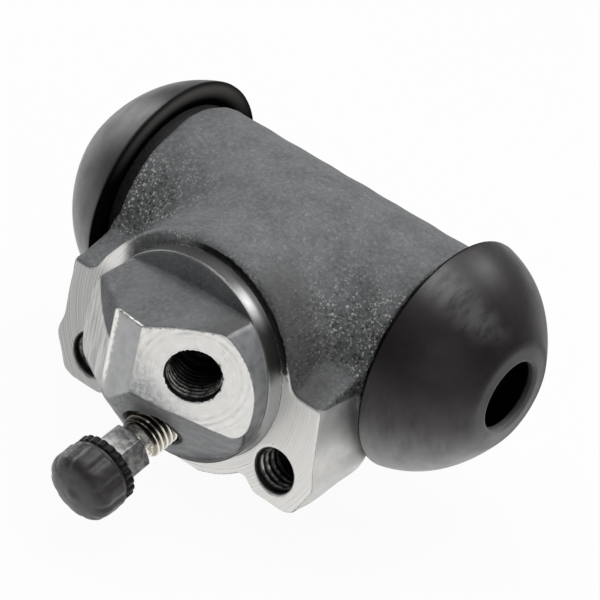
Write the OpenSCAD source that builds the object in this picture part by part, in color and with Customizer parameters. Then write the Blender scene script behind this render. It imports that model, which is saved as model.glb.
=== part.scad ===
// Hydraulic wheel cylinder of a drum brake: cast iron body with a turned pilot
// and a bolting face, two pistons with cup seals pushed apart by one spring,
// two rubber dust boots and a bleeder screw with its rubber cap.
// Millimetres. The pilot axis meets the bolting face at the origin, the nose
// points to -Y, the bore runs along X, and the bolt holes lie below the pilot.

/* [Barrel] */
// Diameter of the honed bore
bore_d = 23.8; // [22:0.1:25]
// Outside diameter of the cast barrel
barrel_d = 34.6; // [33:0.1:38]
// Length of the barrel over its end faces
barrel_len = 64; // [62:0.5:70]
// Diameter of the turned land at each end, under the boots
land_d = 32.8; // [31.5:0.1:32.9]
// Length of each land
land_len = 5; // [4.6:0.1:6]
// Distance of the bore axis behind the bolting face
bore_back = 26.4; // [24:0.2:30]
// Height of the bore axis above the pilot axis
bore_up = 6; // [4:0.2:8]
// Chamfer at both mouths of the bore
bore_chamfer = 0.8; // [0.3:0.1:1.5]

/* [Boot groove] */
// Distance of the groove from the end face
groove_in = 0.9; // [0.6:0.1:1.5]
// Width of the groove
groove_w = 1.6; // [1:0.1:2]
// Depth of the groove
groove_deep = 1.1; // [0.6:0.1:1.6]

/* [Bolting face] */
// Diameter of the cast neck behind the pilot
neck_d = 40.8; // [39:0.2:44]
// Drop of the round underside of the neck below the pilot's own centre
neck_low = 0.9; // [0.4:0.1:1.4]
// Draft of the neck towards the barrel, in degrees
neck_draft = 7; // [3:1:9]
// Distance between the two bolt holes
bolt_gap = 40; // [38:0.5:44]
// Distance of the bolt holes below the pilot axis
bolt_drop = 12; // [10:0.5:14]
// Tapping diameter of the bolt holes
bolt_d = 6.7; // [5:0.1:8]
// Depth of the bolt holes to the end of the thread
bolt_deep = 10; // [7:0.5:12]
// Diameter of the chamfer at the mouth of the bolt holes
bolt_mouth_d = 8; // [7:0.1:9.5]
// Radius of the rounded lobe round each bolt hole
lobe_r = 7.6; // [6.5:0.1:8.4]
// Height of the shoulder of the lobes above the pilot axis
shoulder_up = 3.2; // [1:0.1:5]
// Half width of the face at the right shoulder
shoulder_half = 26.2; // [25:0.1:27]
// Half width of the face at the left shoulder
shoulder_left = 27.2; // [25:0.1:27.6]
// Level of the flat foot of the lobes below the pilot axis
foot_drop = 18.2; // [17:0.1:19]
// Thickness of the lobes before their back slopes to the barrel
lobe_t = 4; // [3:0.5:8]

/* [Pilot and nose] */
// Diameter of the turned pilot
pilot_d = 36.2; // [34:0.1:37]
// Height of the full turned ring above the bolting face
ring_h = 3.2; // [2:0.1:5]
// Step from the turned ring in to the wall of the nose
nose_step = 0.3; // [0.2:0.05:0.5]
// Width of the relief groove turned round the pilot
relief_w = 1.0; // [0.4:0.1:1.2]
// Depth of the relief groove below the bolting face
relief_deep = 0.6; // [0.2:0.1:1.2]
// Height of the flat on top of the nose above the pilot axis
flat_up = 13.5; // [12.5:0.1:15]
// Draft of the flat on top of the nose
flat_draft = 1; // [0:0.5:4]
// Fall of the bevelled front left part of the flat towards the front, in degrees
bevel_fall = 16; // [12:1:20]
// Fall of that bevel towards the left, in degrees
bevel_roll = 12; // [8:1:16]
// Height of the ridge of the nose above the bolting face
ridge_h = 16.2; // [15:0.1:18]
// Slope of the facet beside the ridge, away from the inlet
strip_tilt = 15; // [8:1:22]
// Distance of the left flank from the ridge
flank_left = 6.1; // [5:0.1:7]
// Slope of the left flank
flank_tilt = 33; // [28:1:38]
// Turn of the sloping underside towards the inlet
under_turn = 22; // [10:1:30]
// Slope of the underside
under_tilt = 35; // [30:1:42]
// Height of the underside above the bolting face, under the ridge
under_h = 10.9; // [10.4:0.1:11.6]
// Level below the pilot axis where the left flank is cut back
corner_drop = 5.9; // [5:0.1:7]
// Turn of the left part of the underside away from the inlet
corner_turn = 32; // [28:1:36]
// Slope of the left part of the underside
corner_tilt = 36; // [33:1:40]

/* [Inlet port] */
// Sideways place of the inlet on its facet
inlet_x = 8.7; // [6:0.1:10]
// Height of the inlet above the pilot axis
inlet_up = 4.4; // [2:0.1:6]
// Tilt of the inlet and its facet
inlet_tilt = 30; // [24:1:36]
// Tapping diameter of the inlet
inlet_d = 8.6; // [7:0.1:9.4]
// Depth of the inlet to the foot of its seat
inlet_deep = 11; // [9:0.5:13]
// Diameter of the chamfer at the mouth of the inlet
inlet_mouth_d = 9.8; // [9.5:0.1:11]
// Height of the raised cone that the pipe flare seats on
seat_h = 2.2; // [1:0.1:3]
// Depth of the relief turned round the seat
inlet_relief = 0.3; // [0.2:0.1:0.5]
// Diameter of the drilled passage from the inlet to the bore
inlet_passage_d = 2.4; // [1.5:0.1:3]

/* [Bleeder hole] */
// Sideways place of the bleeder
bleed_x = 1.3; // [0.4:0.1:2]
// Distance of the bleeder below the pilot axis
bleed_drop = 10.8; // [10.2:0.1:11.4]
// Downward tilt of the bleeder
bleed_tilt = 18; // [15:1:20]
// Height of the bleeder's spot face above the bolting face
bleed_h = 8.9; // [8:0.1:10]
// Diameter of the spot face round the bleeder
bleed_spot_d = 9.6; // [9:0.1:11]
// Diameter of the bleeder thread
bleed_d = 7.9; // [7:0.1:8.4]
// Depth of the bleeder hole to the mouth of its seat
bleed_deep = 13; // [11:0.5:15]
// Diameter of the drilled passage from the bleeder to the bore
bleed_passage_d = 2.2; // [1.5:0.1:2.6]

/* [Bleeder screw and cap] */
// Length of the smooth neck between thread and hexagon
neck_len = 2; // [1.5:0.1:4]
// Diameter of the smooth neck
screw_neck_d = 6.4; // [5:0.1:6.8]
// Length of thread that shows outside the body
thread_out = 3.4; // [2:0.1:5]
// Hexagon across its flats
hex_af = 8; // [7:0.1:9]
// Length of the hexagon
hex_len = 5; // [4:0.1:7]
// Diameter of the nipple that carries the cap
nipple_d = 5; // [4:0.1:5.6]
// Length of the nipple
nipple_len = 7.2; // [6:0.1:9]
// Diameter of the drain drilled through the screw
drain_d = 1.8; // [1.2:0.1:2]
// Length of the tapered tip of the nipple
barb_len = 3; // [2.4:0.1:3.6]
// Length of the slope behind that tip
barb_back = 1.4; // [1:0.1:2]
// Height of that tip over the stem of the nipple
barb_step = 0.5; // [0.3:0.1:0.7]
// Outside diameter of the cap
cap_d = 12.6; // [11:0.1:14]
// Length of the cap
cap_len = 8.6; // [8:0.1:10]
// Length of the toothed collar at the mouth of the cap
cap_collar = 1.5; // [1:0.1:2]
// Grip flutes round the cap
cap_flutes = 10; // [8:1:14]
// Teeth round the collar of the cap
cap_teeth = 22; // [16:1:28]

/* [Boots] */
// Widest diameter of the boot, at its rim
boot_d = 41.2; // [40:0.1:44]
// Length of the boot from its back face to its nose
boot_len = 14.4; // [13.6:0.1:16]
// Length of barrel that the boot covers
boot_over = 2.9; // [2.7:0.1:3.2]
// Wall of the boot dome
boot_t = 2; // [1.6:0.1:2.4]
// Hole in the boot nose
boot_hole_d = 12.3; // [10:0.1:13]
// Width of the rounded lip round the hole
boot_lip = 2.8; // [2.2:0.1:3.4]

/* [Pistons and seals] */
// Radial running clearance of a piston in the bore
piston_fit = 0.04; // [0.02:0.01:0.08]
// Length of a piston
piston_len = 13; // [12:0.5:15]
// Distance of the piston's outer end inside the end face of the barrel
piston_in = 1; // [0.5:0.1:2]
// Diameter of the push rod socket
socket_d = 9; // [7:0.1:11]
// Depth of the push rod socket
socket_deep = 7; // [5:0.5:9]
// Depth of the cone at the foot of the push rod socket
socket_cone = 1.6; // [1:0.1:2.4]
// Length of a cup seal
cup_len = 5.6; // [4.5:0.1:6.5]
// Wall of a cup seal
cup_t = 2; // [1.5:0.1:2.5]
// Thickness of the cup expander sheet
expander_t = 0.8; // [0.5:0.1:1.2]
// Wire of the return spring
wire_d = 1.2; // [0.8:0.1:1.6]
// Mean diameter of the return spring
coil_d = 12; // [10:0.5:13]
// Turns of the return spring
coil_turns = 7; // [5:1:9]

/* [Hidden] */
$fn = 96;
eps = 0.01;
far = 60;
seal_fit = 0.05;
bore_r = bore_d / 2;
barrel_r = barrel_d / 2;
land_r = land_d / 2;
neck_r = neck_d / 2;
end_x = barrel_len / 2;
pilot_r = pilot_d / 2;
inlet_h = ridge_h - inlet_x * tan(inlet_tilt) + 0.35;
flank_h = ridge_h - flank_left * tan(strip_tilt);
lobe_x = bolt_gap / 2;
boot_x = end_x - boot_over;
boot_r = boot_d / 2;
hole_r = boot_hole_d / 2;
piston_r = bore_r - piston_fit;
piston_out_x = end_x - piston_in;
piston_back_x = piston_out_x - piston_len;
cup_front_x = piston_back_x - cup_len;
hex_z = thread_out + neck_len;
nipple_z = hex_z + hex_len;
cap_z = nipple_z + 0.3;

// Places of the working axes
module at_bore() {
  translate([0, bore_back, bore_up])
    rotate([0, 90, 0])
      children();
}

module to_front() {
  rotate([90, 0, 0])
    children();
}

module at_inlet() {
  translate([inlet_x, -inlet_h, inlet_up])
    rotate([0, 0, inlet_tilt])
      to_front()
        children();
}

module at_bleeder() {
  translate([bleed_x, -bleed_h, -bleed_drop])
    rotate([90 + bleed_tilt, 0, 0])
      children();
}

module side_profile(width) {
  translate([-width / 2, 0, 0])
    rotate([90, 0, 90])
      linear_extrude(width)
        children();
}

// Everything in front of a plane through the local origin
module front_half() {
  translate([-far / 2, -far / 2, 0])
    cube([far, far, far]);
}

module barrel() {
  at_bore() {
    cylinder(r = barrel_r, h = barrel_len - 2 * land_len, center = true);
    cylinder(r = land_r, h = barrel_len, center = true);
  }
}

module neck() {
  under_z = bore_up - 0.88 * barrel_r;
  root_y = 1.25 * lobe_t;
  draft_w = (bore_back - lobe_t) * tan(neck_draft);
  intersection() {
    to_front() {
      for (low = [0, neck_low])
        translate([0, -low, -lobe_t])
          cylinder(r = neck_r, h = lobe_t);
      translate([0, 0, -bore_back])
        cylinder(r1 = neck_r + draft_w, r2 = neck_r, h = bore_back - lobe_t + eps);
    }
    side_profile(far)
      polygon([[0, -far], [root_y, -far], [root_y, -neck_r - neck_low],
        [bore_back - 0.4 * barrel_r, under_z], [bore_back, under_z], [bore_back, far], [0, far]]);
  }
}

// Swelling of the neck towards the shoulder of the left lobe
module neck_swell() {
  to_front()
    translate([0, 0, -bore_back])
      linear_extrude(bore_back)
        intersection() {
          translate([0.225 * neck_r, -0.42 * neck_r])
            circle(r = 1.47 * neck_r);
          polygon([[0, shoulder_up / 2], [-far, shoulder_up / 2], [-far, far], [-0.53 * far, far]]);
        }
}

module lobe_outline(half) {
  translate([lobe_x, -bolt_drop])
    circle(r = lobe_r);
  polygon([[0, shoulder_up], [half, shoulder_up], [lobe_x + 0.95 * lobe_r, -bolt_drop + 0.52 * lobe_r],
    [lobe_x + 1.06 * lobe_r, -bolt_drop + 0.08 * lobe_r],
    [lobe_x + 0.68 * lobe_r, -foot_drop + 0.1 * lobe_r], [lobe_x + 0.42 * lobe_r, -foot_drop],
    [lobe_x - 0.4 * lobe_r, -foot_drop], [lobe_x - 0.87 * lobe_r, -bolt_drop - 0.4 * lobe_r], [0, 0]]);
}

module lobes() {
  intersection() {
    to_front()
      translate([0, 0, -bore_back])
        linear_extrude(bore_back)
          intersection() {
            union() {
              lobe_outline(shoulder_half);
              mirror([1, 0])
                lobe_outline(shoulder_left);
            }
            translate([-far / 2, -foot_drop])
              square([far, foot_drop + shoulder_up]);
          }
    side_profile(far)
      polygon([[0, -far], [lobe_t, -far], [lobe_t, -foot_drop],
        [bore_back - 0.52 * barrel_r, bore_up - 0.83 * barrel_r],
        [bore_back, bore_up - 0.83 * barrel_r], [bore_back, far], [0, far]]);
  }
}

// Sloping shoulder that ties the lobes into the barrel
module shoulder_web() {
  translate([(shoulder_half - shoulder_left) / 2, 0, 0])
    side_profile(shoulder_half + shoulder_left)
      polygon([[0.2 * lobe_t, shoulder_up / 2], [0.2 * lobe_t, shoulder_up],
      [bore_back - 1.06 * barrel_r, bore_up + 0.02 * barrel_r],
      [bore_back - 0.83 * barrel_r, bore_up + 0.17 * barrel_r],
      [bore_back, bore_up + 0.17 * barrel_r], [bore_back, shoulder_up / 2]]);
}

module pilot_ring() {
  to_front()
    translate([0, 0, -2 * relief_deep])
      cylinder(r = pilot_r, h = ring_h + 2 * relief_deep);
}

// Cast nose on the ring, with its flat, flank and facets
module nose() {
  difference() {
    to_front()
      translate([0, 0, ring_h / 2])
        cylinder(r = pilot_r - nose_step, h = 1.25 * ridge_h - ring_h / 2);
    side_profile(far)
      polygon([[0, flat_up], [0, far], [-far, far],
        [-far, flat_up - (far - ring_h) * tan(flat_draft)], [-ring_h, flat_up]]);
    translate([-flank_left, -ring_h, flat_up])
      rotate([bevel_fall, -bevel_roll, 0])
        front_half();
    at_inlet()
      front_half();
    translate([0, -ridge_h, 0])
      rotate([0, 0, -strip_tilt])
        to_front()
          front_half();
    translate([-flank_left, -flank_h, 0])
      rotate([0, 0, -flank_tilt])
        to_front()
          front_half();
    translate([0, -under_h, -pilot_r / 2])
      rotate([0, 0, under_turn])
        rotate([90 + under_tilt, 0, 0])
          front_half();
    translate([-flank_left, -flank_h, -corner_drop])
      rotate([0, 0, -corner_turn])
        rotate([90 + corner_tilt, 0, 0])
          front_half();
  }
}

module relief() {
  to_front()
    translate([0, 0, -relief_deep])
      difference() {
        cylinder(r = pilot_r + relief_w, h = 2 * relief_deep);
        translate([0, 0, -relief_deep])
          cylinder(r = pilot_r, h = 4 * relief_deep);
      }
}

module bolt_hole() {
  translate([0, 0, -bolt_deep])
    cylinder(d = bolt_d, h = bolt_deep + 1);
  translate([0, 0, -bolt_deep - bolt_d * 0.3])
    cylinder(d1 = 0.2, d2 = bolt_d, h = bolt_d * 0.3);
  translate([0, 0, -(bolt_mouth_d - bolt_d) / 2])
    cylinder(d1 = bolt_d, d2 = bolt_mouth_d + 0.2, h = (bolt_mouth_d - bolt_d) / 2 + 0.1);
}

module bolt_holes() {
  to_front()
    for (s = [-1, 1])
      translate([s * lobe_x, -bolt_drop, 0])
        bolt_hole();
}

module seat_cone() {
  cylinder(d1 = 1.4 * inlet_passage_d + 2 * seat_h, d2 = 1.4 * inlet_passage_d, h = seat_h);
}

// Tapped inlet with a raised cone at its foot for an inverted flare
module inlet_port() {
  reach = (inlet_h + bore_back) / cos(inlet_tilt) - bore_r / 4;
  at_inlet() {
    difference() {
      translate([0, 0, -inlet_deep])
        cylinder(d = inlet_d, h = inlet_deep + 1);
      translate([0, 0, -inlet_deep - eps])
        seat_cone();
    }
    difference() {
      translate([0, 0, -inlet_deep])
        cylinder(r = inlet_d / 2 + inlet_relief, h = seat_h + inlet_relief);
      translate([0, 0, -inlet_deep - eps])
        seat_cone();
    }
    translate([0, 0, -(inlet_mouth_d - inlet_d) / 2])
      cylinder(d1 = inlet_d, d2 = inlet_mouth_d + 0.2, h = (inlet_mouth_d - inlet_d) / 2 + 0.1);
    translate([0, 0, -reach])
      cylinder(d = inlet_passage_d, h = reach - inlet_deep + seat_h);
  }
}

// Tapped bleeder hole with a conical seat at its foot
module bleeder_hole() {
  at_bleeder() {
    cylinder(d = bleed_spot_d, h = far);
    translate([0, 0, -bleed_deep])
      cylinder(d = bleed_d, h = bleed_deep + 1);
    translate([0, 0, -bleed_deep - (bleed_d - bleed_passage_d) / 2])
      cylinder(d1 = bleed_passage_d, d2 = bleed_d, h = (bleed_d - bleed_passage_d) / 2);
    translate([0, 0, -bleed_h - bore_back + bore_r / 4])
      cylinder(d = bleed_passage_d, h = bleed_h + bore_back - bore_r / 4 - bleed_deep);
  }
}

module bore_cut() {
  at_bore() {
    cylinder(r = bore_r, h = barrel_len + 2, center = true);
    for (s = [0, 1])
      mirror([0, 0, s])
        translate([0, 0, end_x - bore_chamfer])
          cylinder(r1 = bore_r, r2 = bore_r + bore_chamfer * 1.25, h = bore_chamfer * 1.25);
  }
}

module boot_grooves() {
  at_bore()
    for (s = [0, 1])
      mirror([0, 0, s])
        translate([0, 0, end_x - groove_in - groove_w])
          difference() {
            cylinder(r = land_r + 2, h = groove_w);
            translate([0, 0, -1])
              cylinder(r = land_r - groove_deep, h = groove_w + 2);
          }
}

module cylinder_body() {
  color("#6b6e71")
    difference() {
      union() {
        barrel();
        neck();
        neck_swell();
        lobes();
        shoulder_web();
        pilot_ring();
        nose();
      }
      relief();
      bore_cut();
      boot_grooves();
      bolt_holes();
      inlet_port();
      bleeder_hole();
    }
}

module piston_right() {
  color("#b9bcc0")
    at_bore()
      difference() {
        translate([0, 0, piston_back_x])
          cylinder(r = piston_r, h = piston_len);
        translate([0, 0, piston_out_x - socket_deep])
          cylinder(d = socket_d, h = socket_deep + 1);
        translate([0, 0, piston_out_x - socket_deep - socket_cone])
          cylinder(d1 = socket_d * 4 / 9, d2 = socket_d, h = socket_cone);
        translate([0, 0, piston_out_x - 0.7])
          difference() {
            cylinder(r = piston_r + 1, h = 1.4);
            cylinder(r1 = piston_r, r2 = piston_r - 1.4, h = 1.4);
          }
      }
}

module piston_left() {
  translate([0, 2 * bore_back, 0])
    rotate([0, 0, 180])
      piston_right();
}

// Cup seal with its open lip towards the middle of the bore
module cup_right() {
  color("#2b2a2a")
    at_bore()
      translate([0, 0, cup_front_x])
        rotate_extrude()
          polygon([[0, cup_len - cup_t], [bore_r - cup_t - 1.2, cup_len - cup_t], [bore_r - 1.5, 0.3],
            [bore_r - 0.9, 0], [bore_r - seal_fit, 0.5], [bore_r - seal_fit, cup_len - 0.4],
            [bore_r - seal_fit - 0.4, cup_len - seal_fit], [0, cup_len - seal_fit]]);
}

module cup_left() {
  translate([0, 2 * bore_back, 0])
    rotate([0, 0, 180])
      cup_right();
}

// Pressed steel dish that spreads the cup lip and centres the spring
module expander_right() {
  floor_z = cup_len - cup_t - seal_fit;
  spring_r = coil_d / 2 + wire_d / 2;
  color("#a9adb1")
    at_bore()
      translate([0, 0, cup_front_x])
        rotate_extrude()
          polygon([[0, floor_z - expander_t], [spring_r + 0.3 * expander_t, floor_z - expander_t],
            [bore_r - 1.7 * cup_t, 0.25 * cup_t], [bore_r - 1.3 * cup_t, 0.25 * cup_t],
            [spring_r + 1.2 * expander_t, floor_z], [0, floor_z]]);
}

module expander_left() {
  translate([0, 2 * bore_back, 0])
    rotate([0, 0, 180])
      expander_right();
}

// Closed-end coil spring drawn as one swept tube
module return_spring() {
  sides = 10;
  steps = 20 * coil_turns;
  half = cup_front_x + cup_len - cup_t - expander_t - seal_fit - wire_d / 2 - 0.03;
  function rise(t) = -half + 2 * half * (t < 0.5 ? 2 * t * t : 1 - 2 * (1 - t) * (1 - t));
  function ring_pt(i, j) = let (t = i / steps, a = 360 * coil_turns * t, b = 360 * j / sides)
    [(coil_d / 2 + wire_d / 2 * cos(b)) * cos(a), (coil_d / 2 + wire_d / 2 * cos(b)) * sin(a),
     rise(t) + wire_d / 2 * sin(b)];
  color("#8f9498")
    at_bore()
      polyhedron(
        points = [for (i = [0 : steps]) for (j = [0 : sides - 1]) ring_pt(i, j)],
        faces = concat(
          [[for (j = [0 : sides - 1]) j]],
          [[for (j = [sides - 1 : -1 : 0]) steps * sides + j]],
          [for (i = [0 : steps - 1]) for (j = [0 : sides - 1])
            [i * sides + j, (i + 1) * sides + j, (i + 1) * sides + (j + 1) % sides,
             i * sides + (j + 1) % sides]]));
}

// Rubber boot: rim over the barrel end, bead in the groove, domed nose
module boot_right() {
  rim = 0.5;
  dome = boot_len - rim - 0.4;
  lip_r = hole_r + boot_lip;
  function fall(t) = 0.4 * t + 0.33 * t * t + 0.27 * t * t * t;
  function slope(t) = (boot_r - lip_r - 0.7) / dome * (0.4 + 0.66 * t + 0.81 * t * t);
  function out_r(t) = boot_r - (boot_r - lip_r - 0.7) * fall(t);
  function in_r(t) = out_r(t) - boot_t * cos(atan(slope(t)));
  function in_x(t) = rim + dome * t - boot_t * sin(atan(slope(t)));
  color("#353233")
    at_bore()
      translate([0, 0, boot_x])
        rotate_extrude()
          polygon(concat(
            [[land_r + seal_fit, 0], [boot_r - 0.4, 0], [boot_r - 0.1, 0.2]],
            [for (i = [0 : 20]) let (t = i / 20) [out_r(t), rim + dome * t]],
            [[lip_r - 0.2, boot_len - 0.1], [lip_r - 1, boot_len], [hole_r + 0.8, boot_len - 0.1],
             [hole_r + 0.2, boot_len - 0.5], [hole_r, boot_len - 1], [hole_r, boot_len - 1.9],
             [hole_r + 0.5, boot_len - 2.4]],
            [for (i = [19 : -1 : 6]) let (t = i / 20) [in_r(t), in_x(t)]],
            [[land_r + seal_fit, boot_over + 0.3],
             [land_r + seal_fit, boot_over - groove_in - seal_fit],
             [land_r - groove_deep + seal_fit, boot_over - groove_in - 0.15],
             [land_r - groove_deep + seal_fit, boot_over - groove_in - groove_w + 0.15],
             [land_r + seal_fit, boot_over - groove_in - groove_w + seal_fit]]));
}

module boot_left() {
  translate([0, 2 * bore_back, 0])
    rotate([0, 0, 180])
      boot_right();
}

// Bleeder screw with conical point, cross drilling, hexagon and hose nipple
module bleeder_screw() {
  thread_r = bleed_d / 2 - 0.05;
  cone_h = thread_r - bleed_passage_d / 2 - 0.6;
  color("#a5a39c")
    at_bleeder()
      difference() {
        union() {
          translate([0, 0, -bleed_deep + 1.2])
            cylinder(r = thread_r, h = bleed_deep - 1.2 + thread_out);
          translate([0, 0, -bleed_deep - 0.05])
            cylinder(r = thread_r - 0.9, h = 0.18 * bleed_d);
          translate([0, 0, -bleed_deep - 0.05 - cone_h + 0.9])
            cylinder(r1 = bleed_passage_d / 2 + 0.55, r2 = thread_r - 0.9, h = cone_h - 0.9);
          translate([0, 0, thread_out - eps])
            cylinder(d = screw_neck_d, h = neck_len + 0.1);
          intersection() {
            translate([0, 0, hex_z])
              cylinder(d = hex_af / cos(30), h = hex_len, $fn = 6);
            translate([0, 0, hex_z])
              cylinder(d1 = 0.97 * hex_af, d2 = 0.97 * hex_af + 4 * hex_len, h = hex_len);
            translate([0, 0, hex_z])
              cylinder(d1 = 0.97 * hex_af + 4 * hex_len, d2 = 0.97 * hex_af, h = hex_len);
          }
          translate([0, 0, nipple_z - eps])
            cylinder(d = nipple_d - 2 * barb_step, h = nipple_len - 0.8 * barb_len);
          translate([0, 0, nipple_z + nipple_len - barb_len - barb_back])
            cylinder(d1 = nipple_d - 2 * barb_step, d2 = nipple_d, h = barb_back);
          translate([0, 0, nipple_z + nipple_len - barb_len])
            cylinder(d1 = nipple_d, d2 = nipple_d - 3.2 * barb_step, h = barb_len);
        }
        translate([0, 0, -bleed_deep + 0.4])
          cylinder(d = drain_d, h = bleed_deep + nipple_z + nipple_len);
        translate([0, 0, -bleed_deep + 0.9])
          rotate([90, 0, 0])
            cylinder(d = drain_d * 0.8, h = bleed_d + 2, center = true);
      }
}

// Rubber cap pushed over the nipple: toothed collar, waist and fluted grip
module bleeder_cap() {
  cap_r = cap_d / 2;
  collar_r = 0.96 * cap_r;
  grip_z = 1.6 * cap_collar;
  color("#3b3939")
    at_bleeder()
      translate([0, 0, cap_z])
        difference() {
          rotate_extrude()
            polygon([[0, 0], [collar_r - 0.5, 0], [collar_r, 0.4], [collar_r, cap_collar],
              [0.9 * cap_r, cap_collar + 0.3], [0.9 * cap_r, grip_z], [cap_r - 0.2, grip_z + 0.4],
              [cap_r, grip_z + 1], [cap_r, cap_len - 2.6], [cap_r - 0.5, cap_len - 1.2],
              [cap_r - 1.6, cap_len - 0.3], [cap_r - 3, cap_len], [0, cap_len]]);
          translate([0, 0, -1])
            cylinder(d = nipple_d + 0.2, h = nipple_len + 1.1);
          for (i = [1 : cap_flutes])
            rotate([0, 0, 360 * i / cap_flutes])
              translate([cap_r + 1.3, 0, grip_z - 0.3])
                cylinder(r = 1.6, h = cap_len, $fn = 24);
          for (i = [1 : cap_teeth])
            rotate([0, 0, 360 * i / cap_teeth])
              translate([collar_r + 0.1, 0, -1])
                cylinder(r = 0.4, h = cap_collar + 1.2, $fn = 12);
        }
}

cylinder_body();
piston_left();
piston_right();
cup_left();
cup_right();
expander_left();
expander_right();
return_spring();
boot_left();
boot_right();
bleeder_screw();
bleeder_cap();
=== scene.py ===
"""Looks of the drum brake wheel cylinder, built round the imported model.

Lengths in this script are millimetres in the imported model's frame until a mesh is made:
the pilot axis meets the bolting face at the origin, the nose points to -Y, the bore runs along X.
"""
import math
from functools import reduce
from types import SimpleNamespace

import bpy
import numpy as np
from mathutils import Matrix, Vector


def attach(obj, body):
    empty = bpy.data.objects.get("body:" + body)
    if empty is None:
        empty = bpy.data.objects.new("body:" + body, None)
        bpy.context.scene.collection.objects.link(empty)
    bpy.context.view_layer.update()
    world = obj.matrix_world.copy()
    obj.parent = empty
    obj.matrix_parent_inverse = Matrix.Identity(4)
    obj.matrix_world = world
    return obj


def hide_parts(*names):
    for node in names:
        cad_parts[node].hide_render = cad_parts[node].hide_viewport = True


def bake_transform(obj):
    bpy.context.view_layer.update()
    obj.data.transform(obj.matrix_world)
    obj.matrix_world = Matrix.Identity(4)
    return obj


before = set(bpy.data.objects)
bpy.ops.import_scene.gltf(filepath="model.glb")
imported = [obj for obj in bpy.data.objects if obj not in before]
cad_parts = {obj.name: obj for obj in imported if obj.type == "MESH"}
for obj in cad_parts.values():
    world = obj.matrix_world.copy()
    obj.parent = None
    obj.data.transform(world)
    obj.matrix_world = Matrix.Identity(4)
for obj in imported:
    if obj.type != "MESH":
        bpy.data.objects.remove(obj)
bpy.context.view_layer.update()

MM = 0.001
COS45 = 0.70711


def facing(turn, tilt):
    """Normal of a face that looks to the front, turned about Z and tilted down, in degrees."""
    a, t = math.radians(turn), math.radians(tilt)
    return np.array([math.cos(t) * math.sin(a), -math.cos(t) * math.cos(a), -math.sin(t)])


# Barrel and neck
BORE_Y, BORE_Z = 26.4, 6.0
BORE_AT = (0, BORE_Y, BORE_Z)
BARREL_R, LAND_R, BORE_R = 17.3, 16.4, 11.9
HALF_LEN, SKIN_HALF = 32.0, 27.0
BOOT_GROOVE, BOOT_GROOVE_DEPTH = (29.5, 31.1), 1.1
NECK_R, NECK_DRAFT, NECK_DROP = 20.4, 0.1228, 0.9
NECK_UNDER = (5.0, -21.3), (0.6405, -0.7678)
SWELL_R, SWELL_AT = 29.99, (4.59, -8.57)

# Bolt lobes and the web that joins their shoulders to the barrel
LOBE_R, LOBE_X, LOBE_T, BOLT_DROP, FOOT = 7.6, 20.0, 4.0, 12.0, 18.2
LOBE_UNDER = (LOBE_T, -FOOT), (0.592, -0.806)
BOLTS = [(-LOBE_X, -BOLT_DROP), (LOBE_X, -BOLT_DROP)]
BOLT_HOLE_R, BOLT_HOLE_DEEP, BOLT_MOUTH_R = 3.86, 6.6, 4.25
SHOULDER_UP, SHOULDER_RIGHT, SHOULDER_LEFT = 3.2, 26.2, 27.2
WEB_FRONT, WEB_FOOT, WEB_HIGH = 0.8, 1.6, 8.94
WEB_TOP = [((WEB_FRONT, SHOULDER_UP), (-0.398, 0.917)), ((8.06, 6.35), (-0.545, 0.838))]
SWELL_EDGE = (0.0, WEB_FOOT), (0.878, 0.478)

# Pilot and nose, with a point and the normal of each face of the nose
PILOT_R, NOSE_R, RING_H, NOSE_TOP = 18.1, 17.8, 3.2, 13.5
FLANK_X, FLANK_H = -6.1, 14.566
RIDGE, STRIP_N = np.array([0.0, -16.2, 0.0]), facing(-15, 0)
FLANK_AT, FLANK_N = (FLANK_X, -FLANK_H, 0.0), facing(-33, 0)
UNDER_AT, UNDER_N = (0.0, -10.9, -9.05), facing(22, 35)
CORNER_AT, CORNER_N = (FLANK_X, -FLANK_H, -5.9), facing(-32, 36)
BEVEL_AT, BEVEL_N = (FLANK_X, -RING_H, NOSE_TOP), np.array([-0.1999, -0.2756, 0.9403])
INLET, INLET_AXIS = np.array([8.7, -11.527, 4.4]), facing(30, 0)
INLET_R, INLET_DEEP, SEAT_H, SEAT_R = 4.72, 11.0, 2.2, 3.9
BLEED, BLEED_AXIS = np.array([1.3, -8.9, -10.8]), facing(0, 18)
BLEED_HOLE_R, BLEED_HOLE_DEEP, SPOT_R = 3.98, 13.0, 4.8

# Bleeder screw and cap, as heights along the bleeder axis
BLEED_PITCH, BLEED_THREAD_R, SHANK_END = 1.06, 3.9, -12.0
THREAD_OUT, HEX_Z, NIPPLE_Z, NIPPLE_LEN, CAP_Z = 3.4, 5.4, 10.4, 7.2, 10.7

# Tapped holes: place, axis, crest and root radius, pitch, and the ends of the thread
BOLT_THREAD = ((0, -1, 0), 3.35, 3.9, 1.41, -6.5, -0.55)
TAPPED = [("bolt_thread_left", (BOLTS[0][0], 0, BOLTS[0][1]), *BOLT_THREAD),
          ("bolt_thread_right", (BOLTS[1][0], 0, BOLTS[1][1]), *BOLT_THREAD),
          ("inlet_thread", INLET, INLET_AXIS, 4.3, 4.75, 1.06, -8.6, -0.5)]


# Signed distance helpers

def smin(a, b, k):
    """Two shapes joined with a fillet of about k."""
    h = np.clip(0.5 + 0.5 * (b - a) / k, 0.0, 1.0)
    return b + (a - b) * h - k * h * (1.0 - h)


def smax(a, b, k):
    """What two shapes share, with an edge rounded by about k."""
    return -smin(-a, -b, k)


def common(*parts):
    """What several shapes share, with sharp edges."""
    return reduce(np.maximum, parts)


def slope(u, v, point, normal):
    """Height above a plane that is seen edge on, in two coordinates."""
    return (u - point[0]) * normal[0] + (v - point[1]) * normal[1]


def plane(x, y, z, point, normal):
    return (x - point[0]) * normal[0] + (y - point[1]) * normal[1] + (z - point[2]) * normal[2]


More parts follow.
